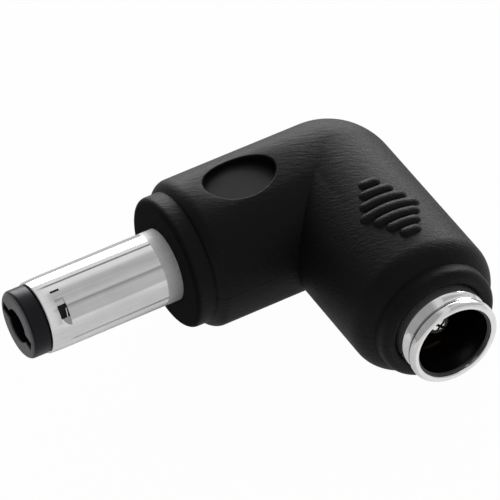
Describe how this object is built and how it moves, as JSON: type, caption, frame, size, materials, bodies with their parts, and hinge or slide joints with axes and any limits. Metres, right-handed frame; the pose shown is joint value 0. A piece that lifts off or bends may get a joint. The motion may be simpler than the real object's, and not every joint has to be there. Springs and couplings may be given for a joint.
{
  "type": "dc barrel plug",
  "caption": "Right-angle DC power adapter: a tuning-fork barrel plug at one end and a metal-shelled barrel jack at the other, in a black moulded elbow.",
  "frame": {"origin": "centre of the plug's seat, on the plug's axis, at the face of the collar that stops against a socket", "axes": "the plug points along -X and the jack opens along -Y, with both axes at z = 0; +Z is the side with the oval recess and the grip ribs, and the elbow lies on its underside at z = -5.65 mm"},
  "size_m": [0.0312, 0.0237, 0.0116],
  "materials": {
    "black_pvc": "satin soft PVC with a fine moulded texture",
    "natural_pe": "natural polyethylene, unpolished",
    "nickel_plate": "bright nickel plate on brass",
    "black_nylon": "moulded nylon, satin",
    "liner_nylon": "moulded nylon, satin",
    "bronze_contact": "phosphor bronze strip",
    "terminal_plate": "nickel plate on brass sheet",
    "pin_plate": "bright nickel plate on turned brass",
    "copper_wire": "bare copper",
    "red_insulation": "PVC wire insulation",
    "black_insulation": "PVC wire insulation",
    "solder": "dull tin solder"
  },
  "bodies": {
    "root": {"overmould_body": "black_pvc", "inner_mould": "natural_pe", "plug_barrel": "nickel_plate", "plug_tip_insulator": "black_nylon", "plug_fork_contact": "bronze_contact", "plug_rear_insulator": "natural_pe", "plug_sleeve_terminal": "terminal_plate", "jack_shell": "nickel_plate", "jack_liner": "liner_nylon", "jack_centre_pin": "pin_plate", "jack_leaf_spring": "bronze_contact", "jack_rear_insulator": "natural_pe", "jack_pin_terminal": "terminal_plate", "positive_conductor": "copper_wire", "positive_insulation": "red_insulation", "negative_conductor": "copper_wire", "negative_insulation": "black_insulation", "plug_centre_solder": "solder", "plug_sleeve_solder": "solder", "jack_centre_solder": "solder", "jack_sleeve_solder": "solder"}
  },
  "joints": []
}
